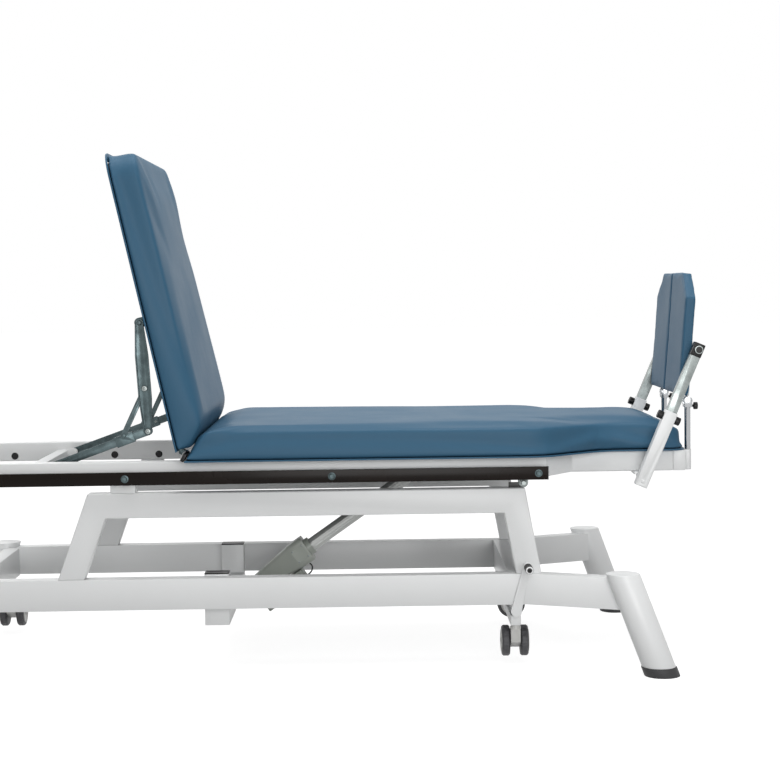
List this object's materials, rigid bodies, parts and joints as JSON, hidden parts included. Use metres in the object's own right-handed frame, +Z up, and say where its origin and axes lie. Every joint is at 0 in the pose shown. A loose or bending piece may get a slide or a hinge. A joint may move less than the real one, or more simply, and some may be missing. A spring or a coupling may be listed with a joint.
{
  "type": "electric tilt table",
  "caption": "Tilt table with a raised hinged backrest, a long seat cushion, hinged footboards and a lift actuator, on a welded base with lowering castors.",
  "frame": {"origin": "centre of the bounding box in plan, on the floor under the rubber feet", "axes": "+X from the head end to the foot end, +Y away from the side shown in the picture, +Z up"},
  "size_m": [1.968, 0.9026, 1.2662],
  "materials": {
    "white_paint": "satin powder coat",
    "foot_rubber": "matte",
    "upholstery": "smooth coated fabric, low sheen",
    "pad_board": "sealed plywood under a dark cloth",
    "rail_dark": "polished",
    "zinc_steel": "bright zinc plate",
    "bearing_plastic": "satin",
    "motor_plastic": "fine grain",
    "lift_tube": "anodised",
    "rod_chrome": "polished",
    "lead_rubber": "matte",
    "knob_black": "satin",
    "wheel_grey": "satin",
    "fork_grey": "satin"
  },
  "bodies": {
    "base": {"legs": "white_paint", "rubber_feet": "foot_rubber", "base_rail_near": "white_paint", "base_rail_far": "white_paint", "head_cross_tube": "white_paint", "foot_cross_tube": "white_paint", "lift_cross_member": "white_paint", "trestle_near": "white_paint", "trestle_far": "white_paint", "rest_blocks": "white_paint", "tilt_bearings": "bearing_plastic"},
    "platform": {"side_tube_near": "white_paint", "side_tube_far": "white_paint", "foot_rail_near": "white_paint", "foot_rail_far": "white_paint", "platform_cross_tubes": "white_paint", "hinge_cross_tube": "white_paint", "lift_cross_tube": "white_paint", "tilt_ears": "zinc_steel", "accessory_rail_near": "rail_dark", "accessory_rail_far": "rail_dark", "seat_board": "pad_board", "seat_pad": "upholstery", "foot_brackets": "white_paint", "foot_rods": "rod_chrome", "knee_knobs": "knob_black"},
    "backrest": {"back_board": "pad_board", "back_pad": "upholstery", "back_brackets": "zinc_steel"},
    "lower_link": {"lower_links": "zinc_steel"},
    "upper_link": {"upper_links": "zinc_steel"},
    "ratchet_block": {"ratchet_blocks": "zinc_steel"},
    "brace_link": {"brace_links": "zinc_steel"},
    "actuator": {"actuator_housing": "motor_plastic", "actuator_tube": "lift_tube", "control_box": "motor_plastic", "motor_lead": "lead_rubber"},
    "actuator_rod": {"actuator_rod": "rod_chrome"},
    "footboard_near": {"footboard_near": "upholstery", "footboard_frame_near": "white_paint"},
    "foot_stay_near": {"stay_outer_near": "white_paint", "clamp_knobs_near": "knob_black"},
    "foot_stay_inner_near": {"stay_inner_near": "zinc_steel"},
    "footboard_far": {"footboard_far": "upholstery", "footboard_frame_far": "white_paint"},
    "foot_stay_far": {"stay_outer_far": "white_paint", "clamp_knobs_far": "knob_black"},
    "foot_stay_inner_far": {"stay_inner_far": "zinc_steel"},
    "castor_carriage_head": {"castor_bar_head": "white_paint"},
    "pedal_head": {"pedal_head": "white_paint"},
    "castor_head_near": {"castor_fork_head_near": "fork_grey"},
    "wheels_head_near": {"castor_wheels_head_near": "wheel_grey"},
    "castor_head_far": {"castor_fork_head_far": "fork_grey"},
    "wheels_head_far": {"castor_wheels_head_far": "wheel_grey"},
    "castor_carriage_foot": {"castor_bar_foot": "white_paint"},
    "pedal_foot": {"pedal_foot": "white_paint"},
    "castor_foot_near": {"castor_fork_foot_near": "fork_grey"},
    "wheels_foot_near": {"castor_wheels_foot_near": "wheel_grey"},
    "castor_foot_far": {"castor_fork_foot_far": "fork_grey"},
    "wheels_foot_far": {"castor_wheels_foot_far": "wheel_grey"}
  },
  "joints": [
    {"name": "table_tilt", "type": "hinge", "parent": "base", "child": "platform", "pos_m": [0.538, 0, 0.448], "axis": [0, 1, 0], "range_deg": [0, 85]},
    {"name": "lift_swing", "type": "hinge", "parent": "base", "child": "actuator", "pos_m": [-0.155, 0, 0.144], "axis": [0, -1, 0], "range_deg": [0, 5.2]},
    {"name": "lift_stroke", "type": "slide", "parent": "actuator", "child": "actuator_rod", "axis": [0.8212, 0, 0.5706], "range_m": [0, 0.34]},
    {"name": "backrest_fold", "type": "hinge", "parent": "platform", "child": "backrest", "pos_m": [-0.278, 0, 0.524], "axis": [0, -1, 0], "range_deg": [0, 77.6]},
    {"name": "lower_link_fold", "type": "hinge", "parent": "platform", "child": "lower_link", "pos_m": [-0.6328, 0, 0.4879], "axis": [0, -1, 0], "range_deg": [-17.8, 0]},
    {"name": "upper_link_fold", "type": "hinge", "parent": "backrest", "child": "upper_link", "pos_m": [-0.383, 0, 0.845], "axis": [0, -1, 0], "range_deg": [0, 10.8]},
    {"name": "ratchet_slide", "type": "slide", "parent": "lower_link", "child": "ratchet_block", "axis": [-0.9427, 0, -0.3337], "range_m": [0, 0.1702]},
    {"name": "brace_fold", "type": "hinge", "parent": "ratchet_block", "child": "brace_link", "pos_m": [-0.42784, 0, 0.57107], "axis": [0, -1, 0], "range_deg": [-49.6, 0]},
    {"name": "footboard_tilt_near", "type": "hinge", "parent": "platform", "child": "footboard_near", "pos_m": [0.9543, -0.176, 0.633], "axis": [0, 1, 0], "range_deg": [-20, 10]},
    {"name": "stay_swing_near", "type": "hinge", "parent": "platform", "child": "foot_stay_near", "pos_m": [0.832, -0.243, 0.443], "axis": [0, 1, 0], "range_deg": [-7.4, 3.9]},
    {"name": "stay_slide_near", "type": "slide", "parent": "foot_stay_near", "child": "foot_stay_inner_near", "axis": [0.3908, 0, 0.9205], "range_m": [-0.0175, 0.0088]},
    {"name": "footboard_tilt_far", "type": "hinge", "parent": "platform", "child": "footboard_far", "pos_m": [0.9543, 0.176, 0.633], "axis": [0, 1, 0], "range_deg": [-20, 10]},
    {"name": "stay_swing_far", "type": "hinge", "parent": "platform", "child": "foot_stay_far", "pos_m": [0.832, 0.243, 0.443], "axis": [0, 1, 0], "range_deg": [-7.4, 3.9]},
    {"name": "stay_slide_far", "type": "slide", "parent": "foot_stay_far", "child": "foot_stay_inner_far", "axis": [0.3908, 0, 0.9205], "range_m": [-0.0175, 0.0088]},
    {"name": "pedal_turn_head", "type": "hinge", "parent": "base", "child": "pedal_head", "pos_m": [-0.806, 0, 0.138], "axis": [0, 1, 0], "range_deg": [0, 80]},
    {"name": "castor_lower_head", "type": "slide", "parent": "base", "child": "castor_carriage_head", "axis": [0, 0, -1], "range_m": [0, 0.0353]},
    {"name": "castor_swivel_head_near", "type": "hinge", "parent": "castor_carriage_head", "child": "castor_head_near", "pos_m": [-0.806, -0.205, 0.079], "axis": [0, 0, 1], "continuous": true},
    {"name": "wheel_roll_head_near", "type": "hinge", "parent": "castor_head_near", "child": "wheels_head_near", "pos_m": [-0.835, -0.205, 0.055], "axis": [0, 1, 0], "continuous": true},
    {"name": "castor_swivel_head_far", "type": "hinge", "parent": "castor_carriage_head", "child": "castor_head_far", "pos_m": [-0.806, 0.205, 0.079], "axis": [0, 0, 1], "continuous": true},
    {"name": "wheel_roll_head_far", "type": "hinge", "parent": "castor_head_far", "child": "wheels_head_far", "pos_m": [-0.806, 0.234, 0.055], "axis": [1, 0, 0], "continuous": true},
    {"name": "pedal_turn_foot", "type": "hinge", "parent": "base", "child": "pedal_foot", "pos_m": [0.517, 0, 0.138], "axis": [0, -1, 0], "range_deg": [0, 80]},
    {"name": "castor_lower_foot", "type": "slide", "parent": "base", "child": "castor_carriage_foot", "axis": [0, 0, -1], "range_m": [0, 0.0353]},
    {"name": "castor_swivel_foot_near", "type": "hinge", "parent": "castor_carriage_foot", "child": "castor_foot_near", "pos_m": [0.517, -0.272, 0.079], "axis": [0, 0, 1], "continuous": true},
    {"name": "wheel_roll_foot_near", "type": "hinge", "parent": "castor_foot_near", "child": "wheels_foot_near", "pos_m": [0.517, -0.243, 0.055], "axis": [1, 0, 0], "continuous": true},
    {"name": "castor_swivel_foot_far", "type": "hinge", "parent": "castor_carriage_foot", "child": "castor_foot_far", "pos_m": [0.517, 0.272, 0.079], "axis": [0, 0, 1], "continuous": true},
    {"name": "wheel_roll_foot_far", "type": "hinge", "parent": "castor_foot_far", "child": "wheels_foot_far", "pos_m": [0.546, 0.272, 0.055], "axis": [0, 1, 0], "continuous": true}
  ],
  "couplings": [
    {"joint": "lift_swing", "follows": "table_tilt", "ratio": 0.057368},
    {"joint": "lift_stroke", "follows": "table_tilt", "m_per_rad": 0.228},
    {"joint": "lower_link_fold", "follows": "backrest_fold", "ratio": -0.22545},
    {"joint": "upper_link_fold", "follows": "backrest_fold", "ratio": 0.13559},
    {"joint": "ratchet_slide", "follows": "backrest_fold", "m_per_rad": 0.12522},
    {"joint": "brace_fold", "follows": "backrest_fold", "ratio": -0.63499},
    {"joint": "stay_swing_near", "follows": "footboard_tilt_near", "ratio": 0.35067},
    {"joint": "stay_slide_near", "follows": "footboard_tilt_near", "m_per_rad": 0.04712},
    {"joint": "stay_swing_far", "follows": "footboard_tilt_far", "ratio": 0.35067},
    {"joint": "stay_slide_far", "follows": "footboard_tilt_far", "m_per_rad": 0.04712},
    {"joint": "castor_lower_head", "follows": "pedal_turn_head", "m_per_rad": 0.025067},
    {"joint": "castor_lower_foot", "follows": "pedal_turn_foot", "m_per_rad": 0.025067}
  ]
}
